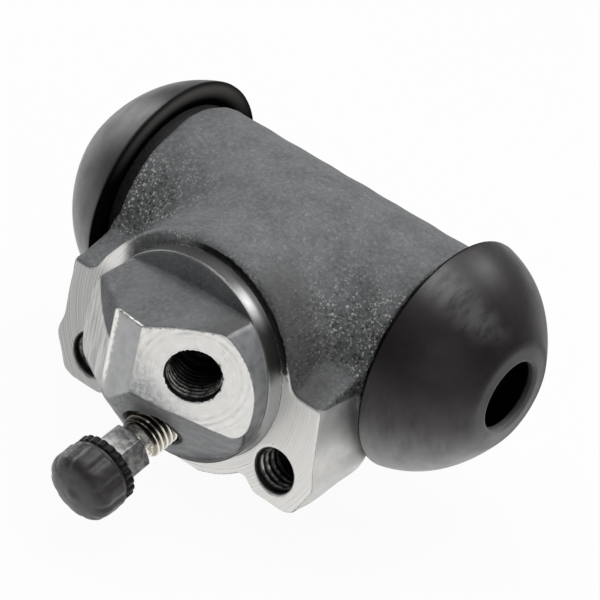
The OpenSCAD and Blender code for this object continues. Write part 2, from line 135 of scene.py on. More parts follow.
def axis_coords(x, y, z, point, axis):
    """Height along an axis and distance from it."""
    h = plane(x, y, z, point, axis)
    dx, dy, dz = x - point[0] - h * axis[0], y - point[1] - h * axis[1], z - point[2] - h * axis[2]
    return h, np.sqrt(dx * dx + dy * dy + dz * dz)


def fade(value, start, length):
    """0 up to start, 1 after length more."""
    return np.clip((value - start) / length, 0, 1)


def round_corners(points, radii, steps=6):
    """A closed outline with each corner turned into an arc."""
    out = []
    n = len(points)
    for i in range(n):
        p, a, b = (np.array(points[j % n], float) for j in (i, i - 1, i + 1))
        u, v = a - p, b - p
        lu, lv = np.linalg.norm(u), np.linalg.norm(v)
        u, v = u / lu, v / lv
        half = math.acos(np.clip(u @ v, -1, 1)) / 2
        cut = min(radii[i] / math.tan(half), 0.45 * lu, 0.45 * lv)
        for s in np.linspace(0, 1, steps + 1):
            out.append((p + u * cut) * (1 - s) ** 2 + p * 2 * s * (1 - s) + (p + v * cut) * s ** 2)
    return np.array(out)


def polygon_distance(px, pz, pts):
    """Signed distance in a plane to a closed outline, negative inside."""
    best = np.full(px.shape, 1e9)
    inside = np.zeros(px.shape, bool)
    for a, b in zip(pts, np.roll(pts, -1, axis=0)):
        ex, ez = b - a
        wx, wz = px - a[0], pz - a[1]
        t = np.clip((wx * ex + wz * ez) / (ex * ex + ez * ez), 0, 1)
        best = np.minimum(best, (wx - ex * t) ** 2 + (wz - ez * t) ** 2)
        crosses = (a[1] > pz) != (b[1] > pz)
        if ez != 0:
            inside ^= crosses & (px < ex * (pz - a[1]) / ez + a[0])
    d = np.sqrt(best)
    return np.where(inside, -d, d)


def lobe_outline(half):
    """Half of the bolting face: middle, shoulder, round of the lobe, foot and back to the middle."""
    corners = [(0, SHOULDER_UP), (half, SHOULDER_UP), (LOBE_X + 0.95 * LOBE_R, -BOLT_DROP + 0.52 * LOBE_R),
               (LOBE_X + 1.06 * LOBE_R, -BOLT_DROP + 0.08 * LOBE_R),
               (LOBE_X + 0.68 * LOBE_R, -FOOT + 0.1 * LOBE_R), (LOBE_X + 0.42 * LOBE_R, -FOOT),
               (LOBE_X - 0.4 * LOBE_R, -FOOT), (LOBE_X - 0.87 * LOBE_R, -BOLT_DROP - 0.4 * LOBE_R), (0, 0)]
    return round_corners(corners, [0.1, 0.8, 3.0, 3.0, 2.0, 2.0, 2.0, 2.0, 0.1])


class Outline:
    """Distance to an outline, read from a table over its half of the plane."""
    STEP, X0, X1, Z0, Z1 = 0.25, -1.0, 34.0, -24.0, 30.0

    def __init__(self, half):
        gx, gz = np.meshgrid(np.arange(self.X0, self.X1, self.STEP),
                             np.arange(self.Z0, self.Z1, self.STEP), indexing="ij")
        self.table = polygon_distance(gx, gz, lobe_outline(half))

    def __call__(self, x, z):
        fx = np.clip((x - self.X0) / self.STEP, 0, self.table.shape[0] - 1.001)
        fz = np.clip((z - self.Z0) / self.STEP, 0, self.table.shape[1] - 1.001)
        ix, iz = fx.astype(int), fz.astype(int)
        tx, tz = fx - ix, fz - iz
        low = self.table[ix, iz] * (1 - tx) + self.table[ix + 1, iz] * tx
        high = self.table[ix, iz + 1] * (1 - tx) + self.table[ix + 1, iz + 1] * tx
        return low * (1 - tz) + high * tz


lobe_right, lobe_left = Outline(SHOULDER_RIGHT), Outline(SHOULDER_LEFT)


# Shape of the casting

def cast_waves(x, y, z):
    """The slight unevenness of a cast skin."""
    return (0.06 * np.sin(x * 0.55 + 1.3 * np.sin(z * 0.31)) * np.sin(y * 0.47 + z * 0.38)
            + 0.05 * np.sin(x * 0.9 + y * 0.7) * np.sin(z * 0.8 - y * 0.5 + 0.6))


def neck_distance(x, y, z):
    """A drafted cone with a lower round at the face, a sloped underside and a swell on the upper left."""
    cone = common(np.hypot(x, z) - NECK_R - np.clip(y - LOBE_T, 0, None) * NECK_DRAFT, y - BORE_Y)
    lower = common(np.hypot(x, z + NECK_DROP) - NECK_R, y - LOBE_T)
    neck = smax(np.minimum(cone, lower), slope(y, z, *NECK_UNDER), 1.6)
    swell = common(np.hypot(x - SWELL_AT[0], z - SWELL_AT[1]) - SWELL_R, WEB_FOOT - z,
                   slope(x, z, *SWELL_EDGE), y - BORE_Y)
    return smin(neck, swell, 0.8)


def lobe_distance(x, y, z):
    """The two bolt lobes with their sloped underside, and the web behind their shoulders."""
    ax = np.abs(x)
    lobes = np.where(x > 0, lobe_right(ax, z), lobe_left(ax, z))
    lobes = common(smax(lobes, slope(y, z, *LOBE_UNDER), 1.0), y - BORE_Y)
    web_top = np.minimum(*(slope(y, z, *part) for part in WEB_TOP))
    web = common(web_top, z - WEB_HIGH, WEB_FOOT - z, WEB_FRONT - y, y - BORE_Y)
    web = smax(web, common(x - SHOULDER_RIGHT, -x - SHOULDER_LEFT), 0.8)
    return smin(lobes, web, 0.8)


def cast_distance(x, y, z, waves):
    """Barrel, neck and lobes, cut by the bolting face and the small groove beside the pilot."""
    ax = np.abs(x)
    rb = np.hypot(y - BORE_Y, z - BORE_Z)
    rn = np.hypot(x, z)
    skin = smax(rb - BARREL_R, ax - SKIN_HALF, 0.9)
    land = smax(rb - LAND_R, ax - HALF_LEN, 0.5)
    cast = smin(skin, neck_distance(x, y, z), 4.5)
    cast = smin(cast, lobe_distance(x, y, z), 1.8) + waves
    cast = np.minimum(cast, land)
    soft = fade(z, 2.0, 8.0) * fade(x, -14.0, 6.0)
    cast = smax(cast, -y, 0.55 + 1.95 * soft)
    deep = -0.3 + 0.9 * fade(x, -6.0, 6.0) * fade(z, 3.0, 5.0)
    groove = common(PILOT_R - rn, rn - PILOT_R - 1.0, y - deep)
    return smax(cast, -groove, 0.2)


def nose_distance(x, y, z, waves):
    """A round bar cut by the machined faces and, with a cast skin, by those above and below."""
    rough = 0.5 * waves
    flat = slope(z, y, (NOSE_TOP, -RING_H), (1.0, -0.01746)) + rough
    bevel = plane(x, y, z, BEVEL_AT, BEVEL_N) + rough
    under = plane(x, y, z, UNDER_AT, UNDER_N) + rough
    corner = plane(x, y, z, CORNER_AT, CORNER_N) + rough
    nose = smax(smax(np.hypot(x, z) - NOSE_R, under, 2.0), corner, 0.9)
    nose = smax(smax(nose, smax(flat, bevel, 2.5), 0.8), plane(x, y, z, FLANK_AT, FLANK_N), 0.8)
    nose = smax(nose, plane(x, y, z, RIDGE, STRIP_N), 0.4)
    nose = smax(nose, plane(x, y, z, INLET, INLET_AXIS), 0.3)
    return common(nose, y - 1.0)


def bolt_hole(x, y, z, bolt):
    """A blind hole with a countersunk mouth."""
    r = np.hypot(x - bolt[0], z - bolt[1])
    mouth = common((r + y - BOLT_MOUTH_R) * COS45, np.abs(y) - 1.0)
    return np.minimum(common(r - BOLT_HOLE_R, y - BOLT_HOLE_DEEP), mouth)


def inlet_hole(x, y, z):
    """The inlet with its countersunk mouth, the raised seat at its bottom and the passage through it."""
    h, r = axis_coords(x, y, z, INLET, INLET_AXIS)
    seat = common((r + (h + INLET_DEEP) - SEAT_R) * COS45, h + INLET_DEEP - SEAT_H)
    hole = common(r - INLET_R, -INLET_DEEP - h, -seat)
    passage = common(r - 1.2, -20.0 - h)
    mouth = common((r - h - 4.85) * COS45, np.abs(h) - 1.0)
    return np.minimum(np.minimum(hole, passage), mouth)


def bleeder_hole(x, y, z):
    """The bleeder's hole with its spot face."""
    h, r = axis_coords(x, y, z, BLEED, BLEED_AXIS)
    return np.minimum(common(r - BLEED_HOLE_R, -BLEED_HOLE_DEEP - h), common(r - SPOT_R, -h))


def body_distance(x, y, z):
    """The casting with its machined faces and holes."""
    ax = np.abs(x)
    rb = np.hypot(y - BORE_Y, z - BORE_Z)
    waves = cast_waves(x, y, z)
    ring = common(smax(np.hypot(x, z) - PILOT_R, -RING_H - y, 0.35), y - 3.0)
    d = np.minimum(cast_distance(x, y, z, waves), ring)
    d = smin(d, nose_distance(x, y, z, waves), 0.25)
    for bolt in BOLTS:
        d = smax(d, -bolt_hole(x, y, z, bolt), 0.15)
    d = smax(d, -inlet_hole(x, y, z), 0.15)
    d = smax(d, -bleeder_hole(x, y, z), 0.2)
    bore = np.minimum(rb - BORE_R, (rb - ax + HALF_LEN - BORE_R - 0.8) * COS45)
    d = smax(d, -bore, 0.1)
    boot_groove = common(BOOT_GROOVE[0] - ax, ax - BOOT_GROOVE[1], LAND_R - BOOT_GROOVE_DEPTH - rb)
    return smax(d, -boot_groove, 0.1)


# Meshes from signed distances

def gradient(f, p, e=0.02):
    g = np.empty_like(p)
    for i in range(3):
        q = p.copy()
        q[:, i] += e
        hi = f(q[:, 0], q[:, 1], q[:, 2])
        q[:, i] -= 2 * e
        g[:, i] = (hi - f(q[:, 0], q[:, 1], q[:, 2])) / (2 * e)
    return g


def settled(f, p, limit):
    """Points moved onto the zero level, and the normals there."""
    for _ in range(3):
        g = gradient(f, p)
        step = (f(p[:, 0], p[:, 1], p[:, 2]) / np.maximum((g * g).sum(1), 0.05))[:, None] * g
        size = np.linalg.norm(step, axis=1, keepdims=True)
        p = p - step * np.minimum(1.0, limit / np.maximum(size, 1e-9))
    g = gradient(f, p)
    return p, g / np.maximum(np.linalg.norm(g, axis=1, keepdims=True), 1e-9)


def surface_nets(f, xs, ys, zs):
    """Points, quads and normals of the zero level, on a grid that may be uneven."""
    gy, gz = np.meshgrid(ys, zs, indexing="ij")
    v = np.stack([f(np.full(gy.shape, x), gy, gz) for x in xs]).astype(np.float64)
    inside = v < 0
    n = np.array(v.shape) - 1
    total = np.zeros(n)
    count = np.zeros(n)
    pos = np.zeros(tuple(n) + (3,))
    corner = {}
    for c in np.ndindex(2, 2, 2):
        part = tuple(slice(c[i], c[i] + n[i]) for i in range(3))
        corner[c] = (v[part], inside[part])
        total += corner[c][1]
    active = (total > 0) & (total < 8)
    for c in np.ndindex(2, 2, 2):
        for a in range(3):
            if c[a]:
                continue
            e = tuple(1 if i == a else c[i] for i in range(3))
            (v0, s0), (v1, s1) = corner[c], corner[e]
            cross = (s0 != s1)
            t = np.where(cross, v0 / np.where(cross, v0 - v1, 1.0), 0.0)
            for i in range(3):
                pos[..., i] += np.where(cross, c[i] + (t if i == a else 0.0), 0.0)
            count += cross
    ids = np.full(tuple(n), -1)
    ids[active] = np.arange(active.sum())
    cell = np.argwhere(active)
    rel = pos[active] / count[active][:, None]
    p = np.empty((len(cell), 3))
    for i, axis in enumerate((xs, ys, zs)):
        lo = axis[cell[:, i]]
        p[:, i] = lo + (axis[cell[:, i] + 1] - lo) * rel[:, i]
    quads = []
    for a in range(3):
        b, c = (a + 1) % 3, (a + 2) % 3
        lo = [slice(None)] * 3
        hi = [slice(None)] * 3
        lo[a], hi[a] = slice(0, -1), slice(1, None)
        s0, s1 = inside[tuple(lo)], inside[tuple(hi)]
        at = np.argwhere(s0 != s1)
        ok = (at[:, b] > 0) & (at[:, c] > 0) & (at[:, b] < n[b]) & (at[:, c] < n[c])
        at = at[ok]
        flip = ~s0[tuple(at.T)]
        ring = []
        for db, dc in ((-1, -1), (0, -1), (0, 0), (-1, 0)):
            q = at.copy()
            q[:, b] += db
            q[:, c] += dc
            ring.append(ids[tuple(q.T)])
        ring = np.stack(ring, axis=1)
        ring[flip] = ring[flip][:, ::-1]
        quads.append(ring)
    p, normals = settled(f, p, 0.4 * min(np.diff(axis).min() for axis in (xs, ys, zs)))
    return p, np.concatenate(quads), normals


def make_object(name, points, faces, normals=None):
    mesh = bpy.data.meshes.new(name)
    mesh.from_pydata((np.asarray(points) * MM).tolist(), [], [list(map(int, f)) for f in faces])
    mesh.validate()
    mesh.polygons.foreach_set("use_smooth", np.ones(len(mesh.polygons), bool))
    if normals is not None and len(normals) == len(mesh.vertices):
        mesh.normals_split_custom_set_from_vertices(np.asarray(normals).tolist())
    mesh.update()
    obj = bpy.data.objects.new(name, mesh)
    bpy.context.scene.collection.objects.link(obj)
    return obj


def grid_faces(rows, cols, close_rows=False):
    """Quads between rows of points that each close on themselves."""
    out = []
    for a in range(rows if close_rows else rows - 1):
        b = (a + 1) % rows
        for c in range(cols):
            d = (c + 1) % cols
            out.append((a * cols + c, a * cols + d, b * cols + d, b * cols + c))
    return out


def turned(name, profile, origin, axis, side, segments=160):
    """A closed outline (height, radius) turned round an axis."""
    axis, side = np.array(axis, float), np.array(side, float)
    other = np.cross(axis, side)
    a = np.linspace(0, 2 * math.pi, segments, endpoint=False)
    spokes = np.cos(a)[:, None] * side + np.sin(a)[:, None] * other
    points = np.concatenate([np.array(origin) + axis * h + spokes * r for h, r in profile])
    return make_object(name, points, grid_faces(len(profile), segments, close_rows=True))


def thread_liner(name, origin, axis, crest, root, pitch, start, end):
    """The tapped wall of a hole: one skin whose radius follows a helix and ends at the mouth."""
    segments, per_turn = 72, 10
    axis = np.array(axis, float)
    side = np.cross(axis, (0.3, 0.2, 0.9))
    side /= np.linalg.norm(side)
    other = np.cross(axis, side)
    rows = int((end - start) / pitch * per_turn) + 1
    h = np.linspace(start, end, rows)
    a = np.linspace(0, 2 * math.pi, segments, endpoint=False)
    hh, aa = np.meshgrid(h, a, indexing="ij")
    t = (hh / pitch + aa / (2 * math.pi)) % 1.0
    wave = np.clip(np.abs(t * 2 - 1) * 1.5 - 0.25, 0, 1)
    runout = np.clip((end - hh) / (0.8 * pitch), 0, 1)
    r = root + (crest - root) * wave * runout
    spokes = np.cos(aa)[..., None] * side + np.sin(aa)[..., None] * other
    points = (np.array(origin) + hh[..., None] * axis + r[..., None] * spokes).reshape(-1, 3)
    return make_object(name, points, [f[::-1] for f in grid_faces(rows, segments)])


# Casting
step, front_step, back_step = ((0.45, 0.38, 0.66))
front_end = 1.6
xs = np.arange(-33.0, 33.01, step)
ys = np.concatenate([np.arange(-18.0, front_end, front_step), np.arange(front_end, 45.0, back_step)])
zs = np.arange(-20.5, 25.0, step)
points, quads, normals = surface_nets(body_distance, xs, ys, zs)
body = make_object("casting", points, quads, normals)
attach(body, "cylinder")
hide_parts("cylinder_body")

liners = []
for tapped in TAPPED:
    piece = thread_liner(*tapped)
    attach(piece, "cylinder")
    liners.append(piece)


# Boots
def boot_profile(length, first, second):
    """Outline of a boot; its dome falls by first * t + second * t^2 + the rest * t^3."""
    rim, over, wall, hole, lip, big = 0.5, 2.9, 1.3, 6.15, 2.8, 20.6
    dome = length - rim - 0.4
    drop = big - hole - lip - 0.7
    t = np.linspace(0, 1, 41)
    third = 1.0 - first - second
    fall = first * t + second * t ** 2 + third * t ** 3
    tilt = np.arctan(drop / dome * (first + 2 * second * t + 3 * third * t ** 2))
    outer = np.c_[rim + dome * t, big - drop * fall]
    inner = np.c_[outer[:, 0] - wall * np.sin(tilt), outer[:, 1] - wall * np.cos(tilt)][12:39][::-1]
    edge_r = rim / 2
    edge = [(edge_r - edge_r * math.sin(s), big - edge_r + edge_r * math.cos(s))
            for s in np.linspace(math.pi / 2, 0, 6)]
    tip, top = length - 0.6, hole + 0.7
    bead = [(tip + 0.6 * math.sin(s), top + 0.7 * math.cos(s))
            for s in np.linspace(0.35 * math.pi, 1.08 * math.pi, 14)]
    throat = [(tip - 0.5, hole), (tip - 0.9, hole + 0.15)]
    foot = LAND_R + 0.02
    hook = foot - 0.95
    seat = [(over + 0.6, foot + 0.5), (over + 0.1, foot), (2.0, foot), (1.9, hook), (0.5, hook),
            (0.4, foot), (0.0, foot)]
    return edge[:-1] + [tuple(v) for v in outer] + bead + throat + [tuple(v) for v in inner] + seat


BOOT_BACK = 29.1
boots = []
for label, sign, shape in (("left", -1, (13.75, 0.40, 0.33)), ("right", 1, (14.75, 0.30, 0.40))):
    boot = turned("boot_" + label + "_rubber", boot_profile(*shape),
                  (sign * BOOT_BACK, BORE_Y, BORE_Z), (sign, 0, 0), (0, 0, 1))
    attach(boot, "cylinder")
    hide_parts("boot_" + label)
    boots.append(boot)


# Bleeder screw and cap, shaped along Z and then placed on the bleeder axis
def screw_distance(x, y, z):
    """Thread, cone tip, neck, hexagon, hose nipple and drain."""
    r = np.hypot(x, y)
    turn = (z / BLEED_PITCH - np.arctan2(y, x) / (2 * math.pi)) % 1.0
    ridge = np.clip(np.abs(turn * 2 - 1) * 1.4 - 0.2, 0, 1)
    runout = 1 - np.clip((THREAD_OUT + 0.05 - z) / 0.7, 0, 1)
    thread = (r - BLEED_THREAD_R + 0.52 * ridge + 0.45 * runout) * 0.85
    shank = common(thread, z - THREAD_OUT - 0.1, SHANK_END - z)
    cone = (r - 4.75 - (z - SHANK_END)) * COS45
    tip = common(smax(r - 3.0, cone, 0.2), z - SHANK_END - 1.0, SHANK_END - 2.0 - z)
    neck = common(r - 3.2, 2.5 - z, z - HEX_Z - 0.3)
    hexagon = np.full(x.shape, -1e9)
    for side in range(3):
        a = math.radians(60 * side + 25)
        hexagon = smax(hexagon, np.abs(x * math.cos(a) + y * math.sin(a)) - 4.0, 0.12)
    bevel = common(r - 3.9 - 2 * (z - HEX_Z), r - 3.9 - 2 * (NIPPLE_Z - z)) * 0.44721
    hexagon = smax(smax(hexagon, common(HEX_Z - z, z - NIPPLE_Z), 0.12), bevel, 0.12)
    up = z - NIPPLE_Z
    nipple = common(r - 2.0 - np.clip((up - 2.8) / 2.8, 0, 0.5), -0.5 - up, up - NIPPLE_LEN)
    nipple = smax(nipple, (r - 1.7 - (NIPPLE_LEN - up) * 0.27) * 0.965, 0.1)
    d = np.minimum(np.minimum(shank, tip), smin(neck, np.minimum(hexagon, nipple), 0.25))
    drain = common(r - 0.9, -12.6 - z)
    return smax(d, -drain, 0.1)


def cap_distance(x, y, z):
    """Fluted grip with a low crown, waist, toothed collar and the hollow for the nipple."""
    r = np.hypot(x, y)
    a = np.arctan2(y, x)
    flutes = 0.5 + 0.5 * np.cos(10 * a + 0.7)
    teeth = 0.5 + 0.5 * np.cos(22 * a)
    lumps = 0.05 * np.sin(3 * a + 1.1 * z) * np.sin(0.9 * z + 0.4) + 0.03 * np.sin(7 * a - 2.3 * z)
    grip = smax(r - 6.3 + 0.34 * flutes ** 3 + lumps, 2.2 - z, 0.5)
    crown = (z - 8.55) + 0.028 * r * r - 0.12 * np.cos(np.clip(r * 1.6, 0, math.pi))
    grip = smax(grip, crown, 2.0)
    waist = common(r - 5.6, 0.5 - z, z - 4.0)
    collar = smax(r - 6.05 + 0.3 * teeth ** 2, common(-z, z - 1.5), 0.35)
    d = smin(smin(grip, waist, 0.3), collar, 0.25)
    hollow = common(r - 2.6, z - 7.3)
    return smax(d, -hollow, 0.15)


def bleeder_piece(name, f, half, low, high, step, lift=0.0):
    """A piece shaped along Z, meshed in a box and placed on the bleeder axis."""
    across = np.arange(-half, half, step)
    points, quads, normals = surface_nets(f, across, across, np.arange(low, high, step))
    side = np.array([1.0, 0.0, 0.0])
    turn = np.stack([side, np.cross(BLEED_AXIS, side), BLEED_AXIS])
    return make_object(name, (points + np.array([0, 0, lift])) @ turn + BLEED, quads, normals @ turn)


screw = bleeder_piece("bleeder_plated", screw_distance, 5.0, -14.6, 18.8, 0.15)
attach(screw, "bleeder")
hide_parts("bleeder_screw")

cap = bleeder_piece("cap_moulded", cap_distance, 7.0, -0.6, 9.4, 0.16, CAP_Z)
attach(cap, "cap")
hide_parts("bleeder_cap")


# Return spring, made as two halves, one towards each piston
def spring_half(sign):
    """Points and faces from the middle to one end, where the coils lie closer."""
    turns, wire, coil, half, sides = 7, 0.6, 6.0, 14.0, 12
    t = np.linspace(0.5, 1.0, 141)
    rise = half * (2 * (1 - 2 * (1 - t) ** 2) - 1)
    b = np.linspace(0, 2 * math.pi, sides, endpoint=False)
    aa, bb = np.meshgrid(2 * math.pi * turns * t, b, indexing="ij")
    rr = coil + wire * np.cos(bb)
    hh = rise[:, None] + wire * np.sin(bb)
    pts = np.stack([sign * hh, BORE_Y + sign * rr * np.sin(aa), BORE_Z - rr * np.cos(aa)], axis=-1)
    rows = len(t)
    faces = grid_faces(rows, sides)
    faces.append(tuple(range(sides - 1, -1, -1)))
    faces.append(tuple((rows - 1) * sides + j for j in range(sides)))
    return pts.reshape(-1, 3), faces


springs = []
for label, sign in (("left", -1), ("right", 1)):
    pts, faces = spring_half(sign)
    piece = make_object("spring_" + label, pts, faces)
    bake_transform(piece)
    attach(piece, "cylinder")
    springs.append(piece)
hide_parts("return_spring")


# Material helpers

def put(tree, value, socket):
    """Feed a socket with a Value, another socket or a constant."""
    if isinstance(value, Value):
        value = value.socket
    if isinstance(value, bpy.types.NodeSocket):
        tree.links.new(value, socket)
    else:
        socket.default_value = value


class Value:
    """A shader value that can be written as arithmetic."""

    def __init__(self, tree, socket):
        self.tree, self.socket = tree, socket

    def math(self, kind, *values, clamp=False):
        n = self.tree.nodes.new("ShaderNodeMath")
        n.operation = kind
        n.use_clamp = clamp
        for value, socket in zip(values, n.inputs):
            put(self.tree, value, socket)
        return Value(self.tree, n.outputs[0])

    def __add__(self, o):
        return self.math("ADD", self, o)

    def __sub__(self, o):
        return self.math("SUBTRACT", self, o)

    def __mul__(self, o):
        return self.math("MULTIPLY", self, o)

    def __pow__(self, o):
        return self.math("POWER", self, o)

    def __abs__(self):
        return self.math("ABSOLUTE", self)

    def most(self, o):
        return self.math("MAXIMUM", self, o)

    def least(self, o):
        return self.math("MINIMUM", self, o)

    def clamped(self):
        return self.math("ADD", self, 0.0, clamp=True)

    def inv(self):
        return self.math("SUBTRACT", 1.0, self)

    def ramp(self, low, high, to_low=0.0, to_high=1.0):
        n = self.tree.nodes.new("ShaderNodeMapRange")
        n.interpolation_type = "SMOOTHSTEP"
        for value, socket in zip((self, low, high, to_low, to_high), n.inputs):
            put(self.tree, value, socket)
        return Value(self.tree, n.outputs[0])

    def within(self, centre, half, soft):
        return abs(self - centre).ramp(half + soft, half - soft)


class Paint:
    """A material with a Principled surface and helpers to feed it. Its coordinates are millimetres."""

    def __init__(self, name):
        self.material = bpy.data.materials.new(name)
        self.material.use_nodes = True
        self.tree = self.material.node_tree
        self.tree.nodes.clear()
        self.out = self.node("OutputMaterial")
        self.surface = self.node("BsdfPrincipled")
        self.tree.links.new(self.surface.outputs[0], self.out.inputs[0])
        coords = self.node("TexCoord")
        self.p = self.vector("MULTIPLY", coords.outputs["Object"], (1 / MM,) * 3).outputs[0]
        self.x, self.y, self.z = self.split(self.p)

    def node(self, kind):
        return self.tree.nodes.new("ShaderNode" + kind)

    def vector(self, kind, *values):
        n = self.node("VectorMath")
        n.operation = kind
        for value, socket in zip(values, n.inputs):
            put(self.tree, value, socket)
        return n

    def split(self, socket):
        n = self.node("SeparateXYZ")
        self.tree.links.new(socket, n.inputs[0])
        return [Value(self.tree, out) for out in n.outputs]

    def set(self, **values):
        for key, v in values.items():
            put(self.tree, v, self.surface.inputs[key.replace("_", " ")])

    def moved(self, origin):
        return self.vector("SUBTRACT", self.p, tuple(origin)).outputs[0]

    def along(self, axis, origin=(0, 0, 0)):
        """Height along an axis."""
        return Value(self.tree, self.vector("DOT_PRODUCT", self.moved(origin), tuple(axis)).outputs["Value"])

    def from_axis(self, axis, origin=(0, 0, 0)):
        """Distance from an axis."""
        cross = self.vector("CROSS_PRODUCT", self.moved(origin), tuple(axis)).outputs[0]
        return Value(self.tree, self.vector("LENGTH", cross).outputs["Value"])

    def upward(self):
        """How far the surface faces up, from -1 to 1."""
        return self.split(self.node("NewGeometry").outputs["Normal"])[2]

    def noise(self, scale, detail=3.0, rough=0.55, stretch=(1.0, 1.0, 1.0)):
        n = self.node("TexNoise")
        n.inputs["Scale"].default_value = scale
        n.inputs["Detail"].default_value = detail
        n.inputs["Roughness"].default_value = rough
        self.tree.links.new(self.vector("MULTIPLY", self.p, stretch).outputs[0], n.inputs["Vector"])
        return Value(self.tree, n.outputs["Fac"])

    def noise_on(self, value, scale, detail=2.0):
        """Noise along one value, for turning marks."""
        n = self.node("TexNoise")
        n.noise_dimensions = "1D"
        n.inputs["Scale"].default_value = scale
        n.inputs["Detail"].default_value = detail
        self.tree.links.new(value.socket, n.inputs["W"])
        return Value(self.tree, n.outputs["Fac"])

    def cells(self, scale):
        """Distance from the middle of a random cell, and a random value of that cell."""
        n = self.node("TexVoronoi")
        n.inputs["Scale"].default_value = scale
        self.tree.links.new(self.p, n.inputs["Vector"])
        return Value(self.tree, n.outputs["Distance"]), self.split(n.outputs["Color"])[0]

    def colour(self, fac, a, b):
        n = self.node("Mix")
        n.data_type = "RGBA"
        put(self.tree, fac, n.inputs["Factor"])
        for v, socket in ((a, n.inputs["A"]), (b, n.inputs["B"])):
            put(self.tree, v if isinstance(v, bpy.types.NodeSocket) else (*v, 1.0), socket)
        return n.outputs["Result"]

    def mix(self, fac, a, b):
        n = self.node("Mix")
        n.data_type = "FLOAT"
        for v, name in ((fac, "Factor"), (a, "A"), (b, "B")):
            put(self.tree, v, n.inputs[name])
        return Value(self.tree, n.outputs["Result"])

    def bump(self, height, distance, strength=1.0):
        n = self.node("Bump")
        n.inputs["Strength"].default_value = strength
        n.inputs["Distance"].default_value = distance * MM
        self.tree.links.new(height.socket, n.inputs["Height"])
        self.tree.links.new(n.outputs[0], self.surface.inputs["Normal"])

    def on(self, obj):
        obj.data.materials.clear()
        obj.data.materials.append(self.material)


# Cast iron

def casting_places(p):
    """Where a point of the casting lies, and the noises that its paint shares."""
    at = SimpleNamespace(
        rn=p.from_axis((0, 1, 0)), rb=p.from_axis((1, 0, 0), BORE_AT), ax=abs(p.x),
        inlet_h=p.along(INLET_AXIS, INLET), inlet_r=p.from_axis(INLET_AXIS, INLET),
        bleed_h=p.along(BLEED_AXIS, BLEED), bleed_r=p.from_axis(BLEED_AXIS, BLEED),
        strip_h=p.along(STRIP_N, RIDGE), flank_h=p.along(FLANK_N, FLANK_AT),
        corner_h=p.along(CORNER_N, CORNER_AT), under_h=p.along(UNDER_N, UNDER_AT),
        bevel_h=p.along(BEVEL_N, BEVEL_AT),
        grain=p.noise(1.3, 4.0, 0.62), coarse=p.noise(0.2, 3.0, 0.5), fine=p.noise(3.4, 2.0, 0.7))
    at.drift = (at.coarse - 0.5) * 5.0
    return at


def casting_hole_shade(p, at):
    """The inside of the bleeder hole, the inlet and the bolt holes, painted near-black as painted shade."""
    holes = at.bleed_r.ramp(5.0, 4.7) * at.bleed_h.ramp(0.4, 0.1) * at.bleed_h.ramp(-14.0, -13.5)
    holes = holes + at.inlet_r.ramp(4.95, 4.8) * at.inlet_h.ramp(-0.1, -0.3) * at.inlet_h.ramp(-13.0, -12.0)
    deep = p.y.ramp(0.1, 0.3) * p.y.ramp(BOLT_HOLE_DEEP + 0.12, BOLT_HOLE_DEEP + 0.04)
    for bx, bz in BOLTS:
        holes = holes + p.from_axis((0, 1, 0), (bx, 0, bz)).ramp(4.0, 3.9) * deep
    return holes


def casting_burr(p, at, front):
    """Bright lines along three edges of the nose: burrs, partly real and partly painted edge highlights."""
    ragged = (at.grain - 0.5) * 0.5
    flank, bevel = at.flank_h + ragged, at.bevel_h + ragged
    burr = at.strip_h.within(0.0, 0.3, 0.1) * flank.within(0.0, 0.2, 0.12) * p.z.ramp(-6.0, -2.0)
    burr = burr + at.rn.within(NOSE_R, 0.35, 0.15) * flank.within(0.0, 0.2, 0.1) * p.z.ramp(2.0, 0.0)
    burr = burr + at.strip_h.within(0.0, 0.35, 0.1) * bevel.within(0.0, 0.12, 0.1) * p.y.ramp(-8.0, -9.0)
    return burr.least(1.0) * front


